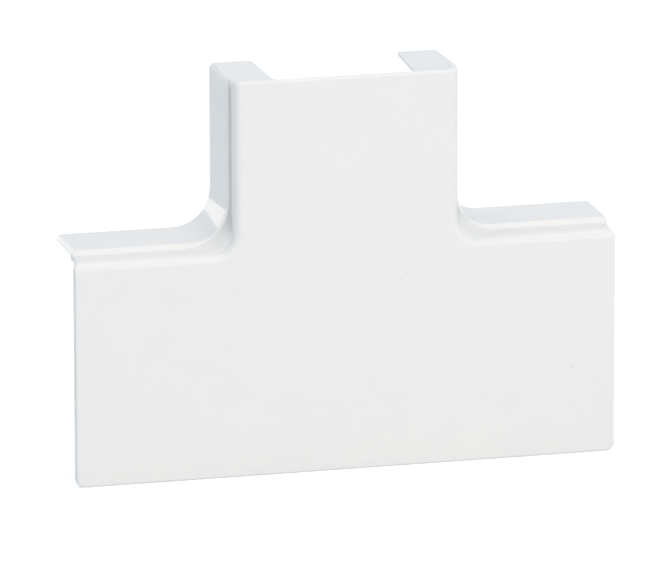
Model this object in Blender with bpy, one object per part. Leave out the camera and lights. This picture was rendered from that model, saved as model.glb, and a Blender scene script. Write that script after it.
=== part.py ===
"""Tee cover for flat cable trunking: one moulded piece, in metres, upright as it sits on a wall.

The T-shaped front plate covers the place where a branch leaves a run at right angles. A skirt
follows both shoulders, the two inside bends and the sides of the branch, and reaches back to
the wall. The lower edge and both ends of the run have no skirt. A stepped rim joins the skirt
to the front face, and two webs narrow the mouth of the branch.

X is along the run, Z along the branch, and depth is counted backwards from the front face.
The origin is at the middle of the lower edge, halfway through the depth.
"""

import math

import bmesh
import bpy

# Overall sizes
RUN_LENGTH = 0.1017
PLATE_WIDTH = 0.0419
BRANCH_WIDTH = 0.0422
BRANCH_REACH = 0.0321
OVERALL_DEPTH = 0.0166
PLATE_THICKNESS = 0.0014
SKIRT_THICKNESS = 0.0010

# Stepped rim between the front face and the skirt. The plate's edge stays straight for a little
# beyond the rounding and the plate's back before the rim starts.
RIM_DEPTH = 0.0041
EDGE_BEFORE_RIM = 0.0001
LEDGE_FALL = 0.00035
SHOULDER_LEDGE = 0.0010
BRANCH_LEDGE = 0.00045
SHOULDER_DRAFT = 0.0007
BRANCH_DRAFT = 0.00015

# Radii of the inside bends, seen from the front
FACE_BEND_RADIUS = 0.0082
LEDGE_BEND_RADIUS = 0.0075
SKIRT_BEND_RADIUS = 0.0053

# Flat land in the skirt's bend, as degrees round from the side of the branch
LAND_START = 4.0
LAND_END = 38.0

# Rounding of the front face's edges
BEND_EDGE_ROUND = 0.0015
MOUTH_EDGE_ROUND = 0.0010
PLAIN_EDGE_ROUND = 0.0004

# Slope between the plate's back and the inside of the rim
INNER_SLOPE = 0.0010

# How far the rim's and the skirt's ends lie inside the plate's ends, and how far the skirt's
# ends lean out again from the ledge to the back
RIM_END_SET = 0.00045
RUN_END_SET = 0.0004
RUN_END_LEAN = 0.0001
BRANCH_END_SET = 0.0004
BRANCH_END_LEAN = 0.0005

# Corners of the outline, and the slanted cuts where the skirt ends at the back
FOOT_CORNER = 0.0015
PLATE_CORNER = 0.0005
RIM_CORNER = 0.0003
RUN_CUT_ACROSS = 0.0005
RUN_CUT_DROP = 0.0004
BRANCH_CUT_ACROSS = 0.0008
BRANCH_CUT_DROP = 0.0007

# Webs across the branch mouth
MOUTH_WIDTH_FRONT = 0.0260
MOUTH_WIDTH_BACK = 0.0278
WEB_THICKNESS = 0.0008
WEB_SETBACK = 0.0002
WEB_END_STEP = 0.00005
WEB_ROOT = 0.0003

# Fineness of curves
BEND_STEPS = 12
LAND_STEPS = 6
CORNER_STEPS = 6
ROUND_STEPS = 6
SHARP_ANGLE = 30.0
CUT_MARGIN = 0.0030

HALF_RUN = RUN_LENGTH / 2
BRANCH_END = PLATE_WIDTH + BRANCH_REACH
LEDGE_SHOULDER = PLATE_WIDTH + SHOULDER_DRAFT
LEDGE_HALF_BRANCH = BRANCH_WIDTH / 2 + BRANCH_DRAFT
SKIRT_SHOULDER = LEDGE_SHOULDER + SHOULDER_LEDGE
SKIRT_HALF_BRANCH = LEDGE_HALF_BRANCH + BRANCH_LEDGE
SKIRT_HALF_RUN = HALF_RUN - RUN_END_SET
SKIRT_TOP = BRANCH_END - BRANCH_END_SET


def clear_scene():
    """Removes every object of the scene that is open."""
    for thing in list(bpy.data.objects):
        bpy.data.objects.remove(thing, do_unlink=True)


def even(first, last, steps):
    """Values from first to last in equal steps, with both ends."""
    return [first + (last - first) * step / steps for step in range(steps + 1)]


def corner(x, z, along_x, along_z, start, rounded=True):
    """Points round a corner at (x, z) of an outline, as a quarter ellipse or a straight cut.

    The start is 0 degrees for a corner that runs up into the top side, and -90 degrees for
    one that runs from the lower side into the end of the run.
    """
    upward = 1 if start == 0 else -1
    points = []
    for share in even(0, 1, CORNER_STEPS):
        turn = math.radians(90 * share)
        if start == 0:
            near_x, near_z = (1 - math.cos(turn), 1 - math.sin(turn)) if rounded else (share, 1 - share)
        else:
            near_x, near_z = 1 - math.sin(turn), 1 - math.cos(turn)
        points.append((x - along_x * near_x, z - upward * along_z * near_z))
    return points


def bend(half_branch, shoulder, radius, with_land):
    """The inside bend from the shoulder to the side of the branch.

    It is a quarter circle. With a land, the points between the land's two ends lie on the
    straight line from one end to the other.
    """
    land = even(-180 + LAND_END, -180 + LAND_START, LAND_STEPS)
    angles = even(-90, land[0], BEND_STEPS) + land[1:] + [-180]
    points = []
    for angle in angles:
        turn = math.radians(angle)
        points.append((half_branch + radius * (1 + math.cos(turn)), shoulder + radius * (1 + math.sin(turn))))
    if with_land:
        first, last = BEND_STEPS, BEND_STEPS + LAND_STEPS
        for step, share in enumerate(even(0, 1, LAND_STEPS)):
            points[first + step] = tuple(
                start + (end - start) * share for start, end in zip(points[first], points[last]))
    return points


def tee_outline(half_branch, shoulder, foot, top, half_run, radius, corners, with_land=False, cuts=False):
    """The T's outline from the middle of the lower edge, counter-clockwise seen from the front.

    The three corners are the lower one, the shoulder's end and the branch's end. Each is given
    as (along x, along z). Where cuts is set, the two upper ones are straight cuts.
    """
    right = corner(half_run, foot, *corners[0], -90)
    right += corner(half_run, shoulder, *corners[1], 0, not cuts)
    right += bend(half_branch, shoulder, radius, with_land)
    right += corner(half_branch, top, *corners[2], 0, not cuts)
    return right + [(-x, z) for x, z in reversed(right)]


def edge_rounds():
    """The front edge's radius at each point of an outline: it changes evenly round a corner."""
    right = [PLAIN_EDGE_ROUND] * (CORNER_STEPS + 1)
    right += even(PLAIN_EDGE_ROUND, BEND_EDGE_ROUND, CORNER_STEPS)
    right += [BEND_EDGE_ROUND] * (BEND_STEPS + LAND_STEPS + 2)
    right += even(BEND_EDGE_ROUND, MOUTH_EDGE_ROUND, CORNER_STEPS)
    return right + right[::-1]


def solid_from_rings(name, rings):
    """A closed mesh object through rings of (x, depth, z) that match one another, front first."""
    form = bmesh.new()
    loops = [[form.verts.new((x, depth - OVERALL_DEPTH / 2, z)) for x, depth, z in ring] for ring in rings]
    form.faces.new(loops[0])
    form.faces.new(reversed(loops[-1]))
    count = len(loops[0])
    for near, far in zip(loops, loops[1:]):
        for this in range(count):
            after = (this + 1) % count
            form.faces.new((near[after], near[this], far[this], far[after]))
    mesh = bpy.data.meshes.new(name)
    form.to_mesh(mesh)
    form.free()
    thing = bpy.data.objects.new(name, mesh)
    bpy.context.scene.collection.objects.link(thing)
    return thing


def at_depth(outline, depth):
    """An outline as a ring at one depth."""
    return [(x, depth, z) for x, z in outline]


def outer_block():
    """The outside as one loft: rounded edges, sloped rim, ledge, and the skirt back to the wall."""
    foot = (FOOT_CORNER, FOOT_CORNER)
    plate = (PLATE_CORNER, PLATE_CORNER)
    rim = (RIM_CORNER, RIM_CORNER)
    rings = []
    for angle in even(0, 90, ROUND_STEPS):
        inset = 1 - math.sin(math.radians(angle))
        fall = 1 - math.cos(math.radians(angle))
        plain = PLAIN_EDGE_ROUND * inset
        side = BEND_EDGE_ROUND * inset
        outline = tee_outline(
            BRANCH_WIDTH / 2 - side, PLATE_WIDTH - side, plain, BRANCH_END - MOUTH_EDGE_ROUND * inset,
            HALF_RUN - plain, FACE_BEND_RADIUS + side, (foot, plate, plate))
        rings.append([(x, radius * fall, z) for (x, z), radius in zip(outline, edge_rounds())])
    plate_edge = tee_outline(
        BRANCH_WIDTH / 2, PLATE_WIDTH, 0, BRANCH_END, HALF_RUN, FACE_BEND_RADIUS, (foot, plate, plate))
    rings.append([(x, max(radius, PLATE_THICKNESS) + EDGE_BEFORE_RIM, z)
                  for (x, z), radius in zip(plate_edge, edge_rounds())])
    ledge = tee_outline(
        LEDGE_HALF_BRANCH, LEDGE_SHOULDER, 0, BRANCH_END, HALF_RUN - RIM_END_SET, LEDGE_BEND_RADIUS,
        (foot, rim, rim))
    skirt = tee_outline(
        SKIRT_HALF_BRANCH, SKIRT_SHOULDER, 0, SKIRT_TOP, SKIRT_HALF_RUN, SKIRT_BEND_RADIUS,
        (foot, rim, rim), with_land=True)
    cut = ((RUN_CUT_ACROSS, RUN_CUT_DROP), (BRANCH_CUT_ACROSS, BRANCH_CUT_DROP))
    back = tee_outline(
        SKIRT_HALF_BRANCH, SKIRT_SHOULDER, 0, SKIRT_TOP + BRANCH_END_LEAN, SKIRT_HALF_RUN + RUN_END_LEAN,
        SKIRT_BEND_RADIUS, (foot, *cut), with_land=True, cuts=True)
    rings.append(at_depth(ledge, RIM_DEPTH - LEDGE_FALL))
    rings.append(at_depth(skirt, RIM_DEPTH))
    rings.append(at_depth(back, OVERALL_DEPTH))
    return solid_from_rings("tee_cover", rings)


def hollow():
    """The space behind the plate. It keeps an even wall to the rim and skirt, and runs out of
    the lower side, both ends of the run, the branch's end and the back.
    """
    def inside(half_branch, shoulder, radius, inset=0.0):
        small = (RIM_CORNER, RIM_CORNER)
        inward = SKIRT_THICKNESS + inset
        return tee_outline(
            half_branch - inward, shoulder - inward, inset - CUT_MARGIN, BRANCH_END + CUT_MARGIN - inset,
            HALF_RUN + CUT_MARGIN - inset, radius + inward, (small, small, small))

    sloped = inside(LEDGE_HALF_BRANCH, LEDGE_SHOULDER, LEDGE_BEND_RADIUS, INNER_SLOPE)
    rim = inside(LEDGE_HALF_BRANCH, LEDGE_SHOULDER, LEDGE_BEND_RADIUS)
    skirt = inside(SKIRT_HALF_BRANCH, SKIRT_SHOULDER, SKIRT_BEND_RADIUS)
    return solid_from_rings("hollow", [
        at_depth(sloped, PLATE_THICKNESS),
        at_depth(rim, PLATE_THICKNESS + INNER_SLOPE),
        at_depth(rim, RIM_DEPTH - LEDGE_FALL + SKIRT_THICKNESS),
        at_depth(skirt, RIM_DEPTH + SKIRT_THICKNESS),
        at_depth(skirt, OVERALL_DEPTH + CUT_MARGIN),
    ])


def mouth_web(name, side):
    """One web of the branch mouth. Side is -1 for left and 1 for right.

    It is rooted in the skirt and the plate, and the mouth between the webs widens to the back.
    """
    root = SKIRT_HALF_BRANCH - SKIRT_THICKNESS + WEB_ROOT
    rings = []
    for width, depth, end in (
        (MOUTH_WIDTH_FRONT, PLATE_THICKNESS - WEB_ROOT, BRANCH_END),
        (MOUTH_WIDTH_BACK, OVERALL_DEPTH - WEB_SETBACK, SKIRT_TOP + BRANCH_END_LEAN),
    ):
        high = end - WEB_END_STEP
        low = high - WEB_THICKNESS
        ends = sorted((side * width / 2, side * root))
        rings.append([
            (ends[0], depth, low), (ends[1], depth, low), (ends[1], depth, high), (ends[0], depth, high),
        ])
    return solid_from_rings(name, rings)


def combine(target, helper, operation):
    """Adds or cuts a helper shape with an exact Boolean, then deletes the helper."""
    step = target.modifiers.new(helper.name, "BOOLEAN")
    step.object = helper
    step.operation = operation
    step.solver = "EXACT"
    graph = bpy.context.evaluated_depsgraph_get()
    target.data = bpy.data.meshes.new_from_object(target.evaluated_get(graph))
    target.modifiers.remove(step)
    bpy.data.objects.remove(helper, do_unlink=True)


def white_plastic():
    """Moulded white plastic with a satin face."""
    material = bpy.data.materials.new("moulded white plastic")
    material.use_nodes = True
    shader = material.node_tree.nodes["Principled BSDF"]
    shader.inputs["Base Color"].default_value = (0.84, 0.84, 0.83, 1)
    shader.inputs["Roughness"].default_value = 0.45
    shader.inputs["Metallic"].default_value = 0
    return material


def tee_cover():
    """The whole moulding."""
    cover = outer_block()
    combine(cover, hollow(), "DIFFERENCE")
    combine(cover, mouth_web("web_left", -1), "UNION")
    combine(cover, mouth_web("web_right", 1), "UNION")
    cover.data.name = "tee_cover"
    cover.data.shade_smooth()
    cover.data.set_sharp_from_angle(angle=math.radians(SHARP_ANGLE))
    cover.data.materials.clear()
    cover.data.materials.append(white_plastic())
    return cover


clear_scene()
tee_cover()
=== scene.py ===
# %% [markdown]
# A white tee cover for flat cable trunking, moulded in one piece.
# The CAD model already has its real size and place. This lesson gives it the surface that a
# moulded part has: eased edges, a thin wall, and a satin white plastic with its small faults.

# %% The frame
import math

import bpy
import numpy as np
from mathutils import Matrix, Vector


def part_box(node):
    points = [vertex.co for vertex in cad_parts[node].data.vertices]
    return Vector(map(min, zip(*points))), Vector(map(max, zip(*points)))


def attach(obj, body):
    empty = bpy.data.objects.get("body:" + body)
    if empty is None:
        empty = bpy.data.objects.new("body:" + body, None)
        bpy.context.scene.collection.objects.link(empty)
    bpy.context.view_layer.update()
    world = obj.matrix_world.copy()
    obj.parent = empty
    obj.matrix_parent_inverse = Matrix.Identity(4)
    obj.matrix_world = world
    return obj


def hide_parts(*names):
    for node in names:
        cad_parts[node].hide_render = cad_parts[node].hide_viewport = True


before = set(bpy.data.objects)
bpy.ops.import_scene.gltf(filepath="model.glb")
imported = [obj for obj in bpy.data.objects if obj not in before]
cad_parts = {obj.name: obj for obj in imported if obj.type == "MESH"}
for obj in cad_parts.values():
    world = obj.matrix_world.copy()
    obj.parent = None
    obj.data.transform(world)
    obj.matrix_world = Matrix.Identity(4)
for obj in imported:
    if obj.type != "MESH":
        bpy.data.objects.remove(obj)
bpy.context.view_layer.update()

# %% [markdown]
# The outer sizes start from the CAD node's box, so the new surface fills the same space.
# The rest are the moulding's own sizes: its wall, its stepped rim and its bends. The bends were
# measured again after the CAD model was finished, so their radii differ from the ones there.
# All are kept in metres, and depth is counted backwards from the front face.

# %% Sizes of the moulding
MM = 0.001
box_low, box_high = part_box("tee_cover")
FRONT = box_low[1]
DEPTH = box_high[1] - box_low[1]
HALF_RUN = (box_high[0] - box_low[0]) / 2

PLATE_WIDTH = 41.9 * MM
HALF_BRANCH = 21.1 * MM
PLATE = 1.4 * MM
WALL = 1.0 * MM

RIM_DEPTH = 4.1 * MM
LEDGE_FALL = 0.22 * MM
BRANCH_FALL = 0.06 * MM
SHOULDER_LEDGE = 1.0 * MM
BRANCH_LEDGE = 0.55 * MM
SHOULDER_DRAFT = 0.7 * MM
BRANCH_DRAFT = 0.05 * MM

FACE_BEND = 4.0 * MM
LEDGE_BEND = 8.8 * MM
SKIRT_BEND = 6.3 * MM
BACK_BEND = 7.2 * MM
SKIRT_LAND = (6.0, 40.0)
BACK_LAND = (16.0, 33.0)

RIM_END_SET = 0.5 * MM
RUN_END_SET = 0.4 * MM
RUN_END_LEAN = 0.1 * MM
BRANCH_END_SET = 0.1 * MM
BRANCH_END_LEAN = 0.2 * MM
BRANCH_END = box_high[2] - BRANCH_END_LEAN + BRANCH_END_SET

print("run %.1f mm, depth %.1f mm" % (2 * HALF_RUN / MM, DEPTH / MM))
print("branch end at %.1f mm" % (BRANCH_END / MM))

# %% [markdown]
# The moulding is worked out as two lofts, one for the outside and one for the hollow behind
# the plate. Both follow the same T-shaped way round, so one function gives a ring of points.
# A ring could be drawn by hand, but as a formula each row of the loft can have its own bend
# radius and corners, which is what makes the stepped rim narrow in the inside bends. The skirt's
# bend has a flat land in it, given by two angles from the branch's side. It narrows to the back.

# %% One ring of the T
CORNER_STEPS = 8
BEND_STEPS = 40
LAND_STEPS = 10
QUARTER = np.radians(np.linspace(0, 90, CORNER_STEPS + 1))
SMALL_CORNER = (0.3 * MM, 0.3 * MM)


def upper_corner(x, z, across, drop, cut):
    """Points from the side up into the top, at a corner whose square point is (x, z).

    A quarter ellipse, x - across (1 - cos t) and z - drop (1 - sin t). Where cut is 1 it is the
    straight line between the same two ends, and in between it is a mix of both.
    """
    share = QUARTER / QUARTER[-1]
    near_x = (1 - cut) * (1 - np.cos(QUARTER)) + cut * share
    near_z = (1 - cut) * (1 - np.sin(QUARTER)) + cut * (1 - share)
    return np.column_stack((x - across * near_x, z - drop * near_z))


def inside_bend(half_branch, shoulder, radius, land, flat):
    """Points round the inside bend, from the shoulder up to the side of the branch.

    A quarter circle, half_branch + r (1 + cos a) and shoulder + r (1 + sin a). The points are
    closer between the land's two angles, and with a flat land they lie on the chord there.
    """
    arc = np.radians(np.linspace(-90, land[1] - 180, BEND_STEPS + 1))
    rest = np.radians(np.linspace(land[1] - 180, land[0] - 180, LAND_STEPS + 1))
    angles = np.concatenate((arc, rest[1:], [-math.pi]))
    points = np.column_stack((
        half_branch + radius * (1 + np.cos(angles)), shoulder + radius * (1 + np.sin(angles))))
    if flat:
        first, last = points[BEND_STEPS], points[BEND_STEPS + LAND_STEPS]
        share = np.linspace(0, 1, LAND_STEPS + 1)[:, None]
        points[BEND_STEPS:BEND_STEPS + LAND_STEPS + 1] = first + (last - first) * share
    return points


def tee_ring(half_branch, shoulder, foot, top, half_run, radius, depth,
             foot_corner=1.5 * MM, run_corner=SMALL_CORNER, top_corner=SMALL_CORNER, cut=(0, 0),
             land=SKIRT_LAND, flat=False):
    """One closed ring of (x, y, z) round the T, from the middle of the lower edge.

    The right half is the foot's corner, the shoulder's end, the inside bend and the branch's
    end. The left half is the same with x turned about, in the opposite order. Depth is one
    number or one for each point. The two cuts say how straight the shoulder's end corner and
    the branch's end corner are.
    """
    low_corner = np.column_stack((
        half_run - foot_corner * (1 - np.sin(QUARTER)), foot + foot_corner * (1 - np.cos(QUARTER))))
    right = np.concatenate((
        low_corner,
        upper_corner(half_run, shoulder, *run_corner, cut[0]),
        inside_bend(half_branch, shoulder, radius, land, flat),
        upper_corner(half_branch, top, *top_corner, cut[1])))
    both = np.concatenate((right, right[::-1] * (-1, 1)))
    deep = np.broadcast_to(depth, len(both))
    return np.column_stack((both[:, 0], FRONT + deep, both[:, 1]))


sample_ring = tee_ring(HALF_BRANCH, PLATE_WIDTH, 0, BRANCH_END, HALF_RUN, FACE_BEND, 0)
print("points in one ring:", len(sample_ring))

# %% [markdown]
# No moulded edge is quite sharp, because the mould is cut with a round tool. Each key ring of a
# loft can therefore be eased: it is swapped for a short curve that leaves the surface on one
# side and meets it on the other. A Bevel modifier could do this too, but it can tangle where the
# ledge runs out to nothing, and here the curve just gets smaller there.

# %% Easing the key rings
EASE_STEPS = 6
HOLD = 0.08 * MM
MOST_OF_SIDE = 0.42
MOST_OF_HOLD = 1.15 * MOST_OF_SIDE
TINY = 1e-9


def eased(keys, distances):
    """Rows of a loft through key rings, with each key ring eased by its distance.

    Round a key ring B with neighbours A and C the row is the curve
    (1 - t)^2 P + 2 t (1 - t) B + t^2 Q, where P and Q lie on BA and BC at the ease distance.
    A row just before P and one just after Q hold the flat parts flat when they are shaded.
    """
    rows = [keys[0][None]]
    for before, key, after, distance in zip(keys, keys[1:], keys[2:], distances[1:]):
        back, onward = before - key, after - key
        back_length = np.linalg.norm(back, axis=1, keepdims=True) + TINY
        onward_length = np.linalg.norm(onward, axis=1, keepdims=True) + TINY
        reach = np.minimum(distance, MOST_OF_SIDE * np.minimum(back_length, onward_length))
        hold_back = np.minimum(reach + HOLD, MOST_OF_HOLD * back_length)
        hold_onward = np.minimum(reach + HOLD, MOST_OF_HOLD * onward_length)
        start = key + back / back_length * reach
        end = key + onward / onward_length * reach
        t = np.linspace(0, 1, EASE_STEPS + 1)[:, None, None]
        curve = (1 - t) ** 2 * start + 2 * t * (1 - t) * key + t ** 2 * end
        rows += [(key + back / back_length * hold_back)[None], curve,
                 (key + onward / onward_length * hold_onward)[None]]
    rows.append(keys[-1][None])
    return np.concatenate(rows)


def loft(name, rows):
    """A closed mesh from a grid of rows by columns: quads all round, and one face on each end.

    Quad (r, c) joins (r, c), (r, c + 1), (r + 1, c + 1) and (r + 1, c), where the last column
    is followed by the first.
    """
    count, columns = rows.shape[:2]
    index = np.arange(count * columns).reshape(count, columns)
    after = np.roll(index, -1, axis=1)
    quads = np.stack((after[:-1], index[:-1], index[1:], after[1:]), axis=-1).reshape(-1, 4)
    faces = [index[0].tolist(), index[-1, ::-1].tolist()] + quads.tolist()
    mesh = bpy.data.meshes.new(name)
    mesh.from_pydata(rows.reshape(-1, 3), [], faces)
    piece = bpy.data.objects.new(name, mesh)
    bpy.context.scene.collection.objects.link(piece)
    print(name, "has", count, "rows of", columns, "points")
    return piece


# %% [markdown]
# The outside starts on the front face and works back: a full rounding along the shoulders and
# bends, a lesser one at the branch's mouth and only an eased edge along the foot and the ends
# of the run. Then come the sloped rim, the ledge and the skirt that stands against the wall.
# The ledge's bend is wider than the skirt's, so the ledge runs out to almost nothing there.

# %% The outside
ROUND_STEPS = 12
PLAIN_ROUND = 0.4 * MM
BEND_ROUND = 1.5 * MM
MOUTH_ROUND = 0.6 * MM
PLATE_CORNER = (0.5 * MM, 0.5 * MM)
FACE_CORNER = (1.0 * MM, 1.1 * MM)
RIM_CORNER = (0.7 * MM, 0.8 * MM)
RUN_CUT = (0.4 * MM, 0.85 * MM)
BRANCH_CUT = (0.8 * MM, 0.7 * MM)
BEFORE_RIM = 0.1 * MM
EDGE_EASE = 0.14 * MM
CREASE_EASE = 0.06 * MM


def edge_rounds():
    """The front edge's radius at each point of a ring. It grows evenly round a corner."""
    bend_points = BEND_STEPS + LAND_STEPS + 2
    right = np.concatenate((
        np.full(CORNER_STEPS + 1, PLAIN_ROUND),
        np.linspace(PLAIN_ROUND, BEND_ROUND, CORNER_STEPS + 1),
        np.full(bend_points, BEND_ROUND),
        np.linspace(BEND_ROUND, MOUTH_ROUND, CORNER_STEPS + 1)))
    return np.concatenate((right, right[::-1]))


def ledge_falls():
    """How far the ledge falls towards the skirt at each point: less and less round the bend."""
    bend_points = BEND_STEPS + LAND_STEPS + 2
    right = np.concatenate((
        np.full(2 * (CORNER_STEPS + 1), LEDGE_FALL),
        np.linspace(LEDGE_FALL, BRANCH_FALL, bend_points),
        np.full(CORNER_STEPS + 1, BRANCH_FALL)))
    return np.concatenate((right, right[::-1]))


def face_ring(inset, depth, more=0.0):
    """A ring of the front rounding. Each edge lies in by its own radius times inset, plus more."""
    plain = PLAIN_ROUND * inset + more
    side = BEND_ROUND * inset + more
    return tee_ring(
        HALF_BRANCH - side, PLATE_WIDTH - side, plain, BRANCH_END - MOUTH_ROUND * inset - more,
        HALF_RUN - plain, FACE_BEND + side, depth, run_corner=FACE_CORNER, top_corner=PLATE_CORNER)


ledge_shoulder = PLATE_WIDTH + SHOULDER_DRAFT
ledge_branch = HALF_BRANCH + BRANCH_DRAFT
skirt_shoulder = ledge_shoulder + SHOULDER_LEDGE
skirt_branch = ledge_branch + BRANCH_LEDGE
skirt_run = HALF_RUN - RUN_END_SET
skirt_top = BRANCH_END - BRANCH_END_SET

rounds = edge_rounds()
falls = ledge_falls()
turn = np.radians(np.linspace(0, 90, ROUND_STEPS + 1))
face_rows = [face_ring(1, 0, more=HOLD)] + [
    face_ring(1 - math.sin(angle), rounds * (1 - math.cos(angle))) for angle in turn]

plate_depths = np.maximum(rounds, PLATE) + BEFORE_RIM
plate_ring = tee_ring(
    HALF_BRANCH, PLATE_WIDTH, 0, BRANCH_END, HALF_RUN, FACE_BEND, plate_depths,
    run_corner=FACE_CORNER, top_corner=PLATE_CORNER)
ledge_ring = tee_ring(
    ledge_branch, ledge_shoulder, 0, BRANCH_END, HALF_RUN - RIM_END_SET, LEDGE_BEND, RIM_DEPTH - falls,
    run_corner=RIM_CORNER)
skirt_ring = tee_ring(
    skirt_branch, skirt_shoulder, 0, skirt_top, skirt_run, SKIRT_BEND, RIM_DEPTH,
    run_corner=RUN_CUT, cut=(1, 0), flat=True)
back_top = skirt_top + BRANCH_END_LEAN
back_run = skirt_run + RUN_END_LEAN
back_ring = tee_ring(
    skirt_branch, skirt_shoulder, 0, back_top, back_run, BACK_BEND,
    DEPTH, run_corner=RUN_CUT, top_corner=BRANCH_CUT, cut=(1, 1), land=BACK_LAND, flat=True)
half_wall = WALL / 2
inner_back_ring = tee_ring(
    skirt_branch - half_wall, skirt_shoulder - half_wall, half_wall, back_top - half_wall,
    back_run - half_wall, BACK_BEND + half_wall,
    DEPTH, run_corner=RUN_CUT, top_corner=BRANCH_CUT, cut=(1, 1), land=BACK_LAND, flat=True)

rim_rows = eased(
    [face_rows[-1], plate_ring, ledge_ring, skirt_ring, back_ring, inner_back_ring],
    [0, EDGE_EASE, CREASE_EASE, EDGE_EASE, EDGE_EASE])
moulding = loft("tee_cover_moulding", np.concatenate((np.array(face_rows), rim_rows[1:])))

# %% [markdown]
# The hollow is the space that the trunking fills. It keeps one wall thickness inside the skirt.
# Behind the sloped rim the wall thins to about half of that, because the hollow keeps the
# ledge's outline there. It follows the bends, so that it nowhere breaks through, and it runs
# out through the foot, both ends of the run, the branch and the back. Its last rows flare,
# which rounds the inner edge of the skirt where it meets the wall.

# %% The hollow behind the plate
OUT = 3.0 * MM
INNER_SLOPE = 1.0 * MM
FLARE = 0.2 * MM
FLARE_STEPS = 5
PAST_BACK = 0.003 * MM


def hollow_ring(half_branch, shoulder, radius, depth, more=0.0):
    """A ring of the hollow, one wall inside the outer one, and wider by more."""
    inward = WALL - more
    return tee_ring(
        half_branch - inward, shoulder - inward, -OUT, BRANCH_END + OUT, HALF_RUN + OUT,
        radius + inward, depth)


flare_turn = np.radians(np.linspace(0, 90, FLARE_STEPS + 1))
flare_rows = [
    hollow_ring(
        skirt_branch, skirt_shoulder, BACK_BEND,
        DEPTH + PAST_BACK - FLARE * (1 - math.sin(angle)), more=FLARE * (1 - math.cos(angle)))
    for angle in flare_turn]
hollow_keys = [
    hollow_ring(ledge_branch, ledge_shoulder, FACE_BEND, PLATE, more=-2 * INNER_SLOPE),
    hollow_ring(ledge_branch, ledge_shoulder, FACE_BEND, PLATE, more=-INNER_SLOPE),
    hollow_ring(ledge_branch, ledge_shoulder, FACE_BEND, PLATE + INNER_SLOPE),
    hollow_ring(ledge_branch, ledge_shoulder, LEDGE_BEND, RIM_DEPTH - LEDGE_FALL + WALL),
    hollow_ring(skirt_branch, skirt_shoulder, SKIRT_BEND, RIM_DEPTH + WALL),
    flare_rows[0]]
past_ring = hollow_ring(skirt_branch, skirt_shoulder, BACK_BEND, DEPTH + OUT, more=FLARE)
hollow_rows = eased(hollow_keys, [0, EDGE_EASE, EDGE_EASE, EDGE_EASE, EDGE_EASE])
hollow = loft("hollow", np.concatenate((hollow_rows, np.array(flare_rows[1:]), past_ring[None])))

# %% [markdown]
# Two webs narrow the branch's mouth. Each is a small wall with rounded corners that leaves the
# skirt and the plate, and webs like these stiffen the thin sides of a branch. A web ends a
# little under the skirt, because a Boolean can leave torn edges where two faces almost meet.

# %% The webs of the branch mouth
MOUTH_FRONT = 26.3 * MM
MOUTH_BACK = 27.7 * MM
WEB = 0.8 * MM
WEB_INTO_PLATE = 0.3 * MM
WEB_INTO_WALL = 0.15 * MM
WEB_STEP = 0.04 * MM
WEB_CORNER = 0.2 * MM
WEB_BACK_SET = 0.2 * MM
LIP_STEPS = 6
LIP_PAST = 0.2 * MM


def web_ring(side, depth, inset=0.0):
    """One rounded rectangle of a web at one depth, as an (x, y, z) ring.

    Its mouth side moves evenly from the front's place to the back's, and its end stays one step
    under the skirt's. The corners on the mouth side are quarter circles, centre + r (cos a, sin a).
    """
    share = depth / DEPTH
    skirt_share = (depth - RIM_DEPTH) / (DEPTH - RIM_DEPTH)
    mouth = (MOUTH_FRONT + (MOUTH_BACK - MOUTH_FRONT) * share) / 2 + inset
    root = skirt_branch - WALL + WEB_INTO_WALL
    high = skirt_top + BRANCH_END_LEAN * skirt_share - WEB_STEP - inset
    low = high - WEB + 2 * inset
    up = np.column_stack((
        mouth + WEB_CORNER * (1 - np.sin(QUARTER)), high - WEB_CORNER * (1 - np.cos(QUARTER))))
    down = np.column_stack((
        mouth + WEB_CORNER * (1 - np.cos(QUARTER)), low + WEB_CORNER * (1 - np.sin(QUARTER))))
    ring = np.concatenate(([(root, low), (root, high)], up, down))
    turned = ring if side > 0 else ring[::-1]
    return np.column_stack((side * turned[:, 0], np.full(len(turned), FRONT + depth), turned[:, 1]))


def web(name, side):
    """A web as a loft of rounded rectangles, with its back edge eased inwards."""
    last = DEPTH - WEB_BACK_SET
    first = web_ring(side, PLATE - WEB_INTO_PLATE)
    keys = [first, web_ring(side, last), web_ring(side, last, inset=WEB / 3)]
    return loft(name, eased(keys, [0, EDGE_EASE]))


def combine(piece, helper, operation):
    """Cuts or joins a helper with an exact Boolean, keeps the result and deletes the helper."""
    step = piece.modifiers.new(operation.lower(), "BOOLEAN")
    step.operation = operation
    step.solver = "EXACT"
    step.object = helper
    graph = bpy.context.evaluated_depsgraph_get()
    result = bpy.data.meshes.new_from_object(piece.evaluated_get(graph))
    piece.modifiers.clear()
    piece.data = result
    bpy.data.objects.remove(helper, do_unlink=True)


def lip_cutter():
    """What the plate's end loses between the webs: its back edge is rounded, then slopes inwards.

    The profile is centre + r (sin a, cos a) for a from 0 to 45 degrees, then a straight line at
    45 degrees to beyond the plate's back. It is carried along the run from web to web.
    """
    radius = MOUTH_ROUND
    turn = np.radians(np.linspace(0, 45, LIP_STEPS + 1))
    depth = radius * (1 + np.sin(turn))
    height = BRANCH_END - radius * (1 - np.cos(turn))
    beyond = 2 * PLATE
    above = BRANCH_END + PLATE
    slope_end = height[-1] - (beyond - depth[-1])
    profile = np.concatenate((
        np.column_stack((depth, height)),
        [(beyond, slope_end), (beyond, above), (depth[0], above)]))
    half = MOUTH_FRONT / 2 + LIP_PAST
    places = np.array([half, -half])[:, None]
    rows = np.stack((
        np.broadcast_to(places, (2, len(profile))),
        np.broadcast_to(FRONT + profile[:, 0], (2, len(profile))),
        np.broadcast_to(profile[:, 1], (2, len(profile)))), axis=-1)
    return loft("lip", rows)


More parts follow.
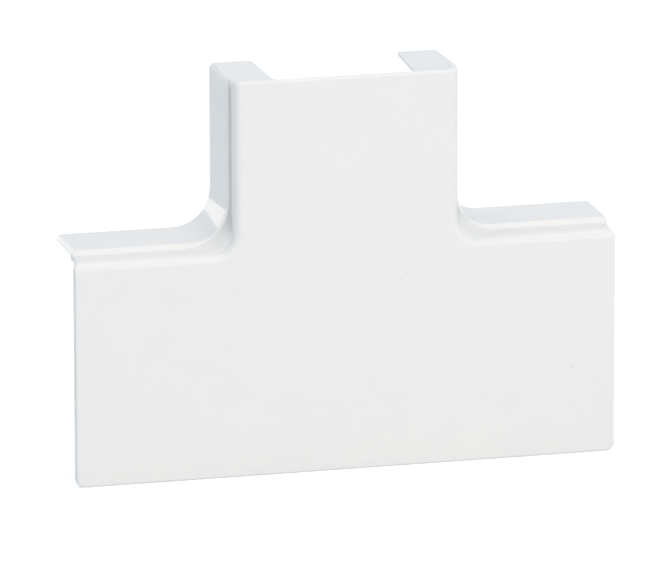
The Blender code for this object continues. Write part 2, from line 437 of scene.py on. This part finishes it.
combine(moulding, hollow, "DIFFERENCE")
combine(moulding, lip_cutter(), "DIFFERENCE")
combine(moulding, web("web_left", -1), "UNION")
combine(moulding, web("web_right", 1), "UNION")
moulding.data.name = "tee_cover_moulding"
print("moulding:", len(moulding.data.vertices), "points,", len(moulding.data.polygons), "faces")

# %% [markdown]
# Curved faces are shaded smooth, and an edge that turns by more than a few degrees stays crisp.
# The limit is low because the curves have many small steps, and the land's edges turn little.

# %% Smooth and crisp
CRISP = 14.0
moulding.data.shade_smooth()
moulding.data.set_sharp_from_angle(angle=math.radians(CRISP))

# %% [markdown]
# Colours are written as sRGB, as a colour picker shows them, and turned to the linear values
# that a shader needs. One helper adds a node with its settings and its links.

# %% Colour and node helpers


def linear(code):
    """An sRGB hex colour as linear RGBA: c / 12.92 below 0.04045, else ((c + 0.055) / 1.055)^2.4."""
    channels = np.array([int(code[start:start + 2], 16) for start in (1, 3, 5)]) / 255
    values = np.where(channels <= 0.04045, channels / 12.92, ((channels + 0.055) / 1.055) ** 2.4)
    return (*values.tolist(), 1.0)


def add(tree, kind, settings=None, values=None, links=None):
    """Adds one node, sets its settings and its sockets' values, and links other nodes' outputs in."""
    node = tree.nodes.new(kind)
    for name, value in (settings or {}).items():
        setattr(node, name, value)
    for name, value in (values or {}).items():
        node.inputs[name].default_value = value
    for name, output in (links or {}).items():
        tree.links.new(output, node.inputs[name])
    return node


print("white plastic in linear light:", [round(value, 3) for value in linear("#EEEEEC")])

# %% [markdown]
# The cover is injection-moulded white uPVC. Titanium white fills it, so it is bright and a
# little soft in tone. The mould is spark eroded, which leaves a fine grain and a satin shine
# with broad highlights. Slow flow marks vary the white by a percent or so, and a few dark
# specks of burnt polymer are the fault that such parts often have. The grain is drawn coarser
# than it is. The step between the front and the ledge has painted shade: its colour is darkened
# a little, most up the branch, because the lamps alone leave it paler than it is on the real part.

# %% Injection-moulded white uPVC
UPVC_IOR = 1.53
SATIN = 0.42
GRAIN = 0.35 * MM
FLOW = 9.0 * MM
SPECK_SPACING = 9.0 * MM
SPECK_SIZE = 0.16 * MM
# Painted shade in the rim's step: the colour there is multiplied by these tones.
STEP_PAINTED_SHADE = 0.92
UPRIGHT_PAINTED_SHADE = 0.74
SHADE_BEGINS, SHADE_FULL = 1.4 * MM, 2.4 * MM
SHADE_FADES, SHADE_ENDS = 0.5 * MM, 0.1 * MM
UPRIGHT_FROM, UPRIGHT_TO = 2.0 * MM, 7.0 * MM
UNSHADED_END, UNSHADED_FADE = 1.0 * MM, 1.8 * MM
WHITE_LOW, WHITE_HIGH, SPECK_TONE = "#EDEDEC", "#F0F0EE", "#8C8A84"
SATIN_SPREAD = 0.04
GRAIN_BUMP, GRAIN_DEPTH = 0.10, 0.02 * MM


def moulded_upvc():
    """Satin white plastic: flow marks, specks and painted shade in the colour, and a fine grain as bump.

    The painted shade in the rim's step is from the front's depth mask times the ledge's depth mask
    times the branch end's height mask, and it is darker up the branch than along the shoulders.
    """
    material = bpy.data.materials.new("injection-moulded white uPVC")
    material.use_nodes = True
    tree = material.node_tree
    shader = tree.nodes["Principled BSDF"]
    shader.inputs["IOR"].default_value = UPVC_IOR
    place = add(tree, "ShaderNodeTexCoord").outputs["Object"]

    flow = add(
        tree, "ShaderNodeTexNoise", values={"Scale": 1 / FLOW, "Detail": 3.0}, links={"Vector": place})
    mottle = add(tree, "ShaderNodeMix", {"data_type": "RGBA"}, links={"Factor": flow.outputs["Fac"]})
    mottle.inputs[6].default_value = linear(WHITE_LOW)
    mottle.inputs[7].default_value = linear(WHITE_HIGH)

    cells = add(
        tree, "ShaderNodeTexVoronoi", values={"Scale": 1 / SPECK_SPACING}, links={"Vector": place})
    speck = add(
        tree, "ShaderNodeMapRange", {"interpolation_type": "SMOOTHSTEP"},
        {"From Min": SPECK_SIZE / SPECK_SPACING, "From Max": 0.4 * SPECK_SIZE / SPECK_SPACING},
        {"Value": cells.outputs["Distance"]})
    specked = add(
        tree, "ShaderNodeMix", {"data_type": "RGBA"}, links={"Factor": speck.outputs["Result"]})
    specked.inputs[7].default_value = linear(SPECK_TONE)
    tree.links.new(mottle.outputs[2], specked.inputs[6])

    # Painted shade: a mask of the rim's step, by depth and height, darkens the colour there.
    along = add(tree, "ShaderNodeSeparateXYZ", links={"Vector": place})
    from_front = add(
        tree, "ShaderNodeMapRange", {"interpolation_type": "SMOOTHSTEP"},
        {"From Min": FRONT + SHADE_BEGINS, "From Max": FRONT + SHADE_FULL}, {"Value": along.outputs["Y"]})
    to_ledge = add(
        tree, "ShaderNodeMapRange", {"interpolation_type": "SMOOTHSTEP"},
        {"From Min": FRONT + RIM_DEPTH - SHADE_ENDS, "From Max": FRONT + RIM_DEPTH - SHADE_FADES},
        {"Value": along.outputs["Y"]})
    below_end = add(
        tree, "ShaderNodeMapRange", {"interpolation_type": "SMOOTHSTEP"},
        {"From Min": BRANCH_END - UNSHADED_END, "From Max": BRANCH_END - UNSHADED_FADE},
        {"Value": along.outputs["Z"]})
    behind = add(
        tree, "ShaderNodeMath", {"operation": "MULTIPLY"},
        links={0: from_front.outputs["Result"], 1: to_ledge.outputs["Result"]})
    in_step = add(
        tree, "ShaderNodeMath", {"operation": "MULTIPLY"},
        links={0: behind.outputs["Value"], 1: below_end.outputs["Result"]})
    painted_shade = add(
        tree, "ShaderNodeMapRange", {"interpolation_type": "SMOOTHSTEP"},
        {"From Min": PLATE_WIDTH + UPRIGHT_FROM, "From Max": PLATE_WIDTH + UPRIGHT_TO,
         "To Min": STEP_PAINTED_SHADE, "To Max": UPRIGHT_PAINTED_SHADE},
        {"Value": along.outputs["Z"]})
    shaded_colour = add(
        tree, "ShaderNodeMix", {"data_type": "RGBA", "blend_type": "MULTIPLY"},
        links={"Factor": in_step.outputs["Value"]})
    tree.links.new(specked.outputs[2], shaded_colour.inputs[6])
    tree.links.new(painted_shade.outputs["Result"], shaded_colour.inputs[7])
    tree.links.new(shaded_colour.outputs[2], shader.inputs["Base Color"])

    grain = add(
        tree, "ShaderNodeTexNoise", values={"Scale": 1 / GRAIN, "Detail": 2.0}, links={"Vector": place})
    rough = add(
        tree, "ShaderNodeMapRange", values={"To Min": SATIN - SATIN_SPREAD, "To Max": SATIN + SATIN_SPREAD},
        links={"Value": grain.outputs["Fac"]})
    tree.links.new(rough.outputs["Result"], shader.inputs["Roughness"])
    bump = add(
        tree, "ShaderNodeBump", values={"Strength": GRAIN_BUMP, "Distance": GRAIN_DEPTH},
        links={"Height": grain.outputs["Fac"]})
    tree.links.new(bump.outputs["Normal"], shader.inputs["Normal"])
    return material


moulding.data.materials.clear()
moulding.data.materials.append(moulded_upvc())
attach(moulding, "root")
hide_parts("tee_cover")

# %% [markdown]
# The cover stands on a wide flat pale floor. The floor is white to the camera, which comes from
# a glow that only camera, glossy and transmission rays see, so it lights nothing, and the
# object's shadow still darkens the floor under it.

# %% The floor
FLOOR_HALF = 3.0
FLOOR_GLOW = 0.44
FLOOR_ROUGH = 0.9
FLOOR_SHINE = 0.1


def direct_rays(tree):
    """1 for camera, glossy and transmission rays and 0 for the rest, as the greater of the three."""
    rays = add(tree, "ShaderNodeLightPath")
    seen = add(
        tree, "ShaderNodeMath", {"operation": "MAXIMUM"},
        links={0: rays.outputs["Is Camera Ray"], 1: rays.outputs["Is Glossy Ray"]})
    every = add(
        tree, "ShaderNodeMath", {"operation": "MAXIMUM"},
        links={0: seen.outputs["Value"], 1: rays.outputs["Is Transmission Ray"]})
    return every.outputs["Value"]


def pale_floor():
    """Matt pale paper, with a glow that is the same all over and seen only by direct rays."""
    material = bpy.data.materials.new("matt white background paper")
    material.use_nodes = True
    tree = material.node_tree
    shader = tree.nodes["Principled BSDF"]
    shader.inputs["Base Color"].default_value = linear("#E6E6E6")
    shader.inputs["Roughness"].default_value = FLOOR_ROUGH
    shader.inputs["Specular IOR Level"].default_value = FLOOR_SHINE
    glow = add(
        tree, "ShaderNodeMath", {"operation": "MULTIPLY"}, {1: FLOOR_GLOW}, {0: direct_rays(tree)})
    shader.inputs["Emission Color"].default_value = (1, 1, 1, 1)
    tree.links.new(glow.outputs["Value"], shader.inputs["Emission Strength"])
    return material


floor_mesh = bpy.data.meshes.new("floor")
floor_corners = np.array([(-1, -1, 0), (1, -1, 0), (1, 1, 0), (-1, 1, 0)]) * FLOOR_HALF
floor_mesh.from_pydata(floor_corners, [], [(0, 1, 2, 3)])
floor_mesh.materials.append(pale_floor())
floor = bpy.data.objects.new("floor", floor_mesh)
bpy.context.scene.collection.objects.link(floor)

# %% [markdown]
# The light is a plain studio set: an even pale surround, cool and not very strong, and five soft
# lamps. A broad warm key near the camera flattens the front face. A weaker one in front on the
# left reaches into the rim's step. A fill on the right keeps that edge from going dark, and a
# lamp above lights the shoulders. A low strip stands behind on the left, where the flat land of
# the bend mirrors it.

# %% The light
SURROUND_TONE = "#D5F1FF"
SURROUND_STRENGTH = 0.55


def surround():
    """An even pale surround, white where a camera, glossy or transmission ray sees it."""
    world = bpy.data.worlds.new("studio surround")
    world.use_nodes = True
    tree = world.node_tree
    output = tree.nodes["Background"]
    output.inputs["Color"].default_value = linear(SURROUND_TONE)
    output.inputs["Strength"].default_value = SURROUND_STRENGTH
    direct = add(tree, "ShaderNodeBackground", values={"Color": (1, 1, 1, 1), "Strength": 1.0})
    choice = add(tree, "ShaderNodeMixShader", links={0: direct_rays(tree)})
    tree.links.new(output.outputs["Background"], choice.inputs[1])
    tree.links.new(direct.outputs["Background"], choice.inputs[2])
    tree.links.new(choice.outputs["Shader"], tree.nodes["World Output"].inputs["Surface"])
    return world


def stand(thing, place, right, upward, outward):
    """Puts a lamp or a camera at a place, with its own x, y and z along three directions."""
    rows = np.column_stack((right, upward, outward, place))
    thing.matrix_world = Matrix([*rows.tolist(), (0, 0, 0, 1)])


def area_lamp(name, place, target, size, power, colour):
    """A square or oblong soft lamp at a place, turned to face a target point."""
    data = bpy.data.lights.new(name, "AREA")
    data.shape = "RECTANGLE"
    data.size, data.size_y = size
    data.energy = power
    data.color = linear(colour)[:3]
    lamp = bpy.data.objects.new(name, data)
    bpy.context.scene.collection.objects.link(lamp)
    away = np.array(place) - np.array(target)
    away = away / np.linalg.norm(away)
    side = np.cross((0, 0, 1), away)
    side = side / np.linalg.norm(side)
    stand(lamp, place, side, np.cross(away, side), away)
    return lamp


MIDDLE = (0.0, 0.0, 0.037)
bpy.context.scene.world = surround()
area_lamp("key", (0.15, -1.1, 0.45), MIDDLE, (0.9, 0.7), 4.8, "#FFEBDF")
area_lamp("left front", (-0.35, -1.2, 0.35), MIDDLE, (0.5, 0.5), 1.2, "#FFEBDF")
area_lamp("fill", (0.9, -0.5, 0.35), MIDDLE, (0.7, 0.7), 1.5, "#FFF4EC")
area_lamp("top", (-0.1, 0.1, 1.0), MIDDLE, (0.8, 0.8), 3.8, "#FFEBE8")
area_lamp("strip", (-0.33, 0.90, 0.05), MIDDLE, (0.5, 0.09), 0.88, "#FFF0E4")

# %% [markdown]
# The camera stands where the photograph was taken from: a little to the left and above, far
# away, with a long lens. Its place was worked out from the object's own corners.

# %% The camera
IMAGE_WIDTH = 669
SENSOR_WIDTH = 36.0
AZIMUTH, ELEVATION, ROLL = np.radians((14.352, 14.491, -0.104))
AIM = np.array((-2.40 * MM, FRONT, 35.427 * MM))
DISTANCE = 1634 * MM
FOCAL_PIXELS = 8967.3
NEAREST, FARTHEST = 0.05, 20.0

camera_data = bpy.data.cameras.new("camera")
camera_data.sensor_width = SENSOR_WIDTH
camera_data.lens = FOCAL_PIXELS * SENSOR_WIDTH / IMAGE_WIDTH
camera_data.clip_start = NEAREST
camera_data.clip_end = FARTHEST
camera = bpy.data.objects.new("camera", camera_data)
bpy.context.scene.collection.objects.link(camera)

level = math.cos(ELEVATION)
outward = np.array((-math.sin(AZIMUTH) * level, -math.cos(AZIMUTH) * level, math.sin(ELEVATION)))
level_right = np.array((math.cos(AZIMUTH), -math.sin(AZIMUTH), 0))
level_up = np.cross(outward, level_right)
right = math.cos(ROLL) * level_right + math.sin(ROLL) * level_up
upward = np.cross(outward, right)
camera_place = AIM + DISTANCE * outward
stand(camera, camera_place, right, upward, outward)
bpy.context.scene.camera = camera
bpy.context.scene.view_settings.view_transform = "Standard"
print("camera at", np.round(camera_place, 4), "with a lens of %.1f mm" % camera_data.lens)
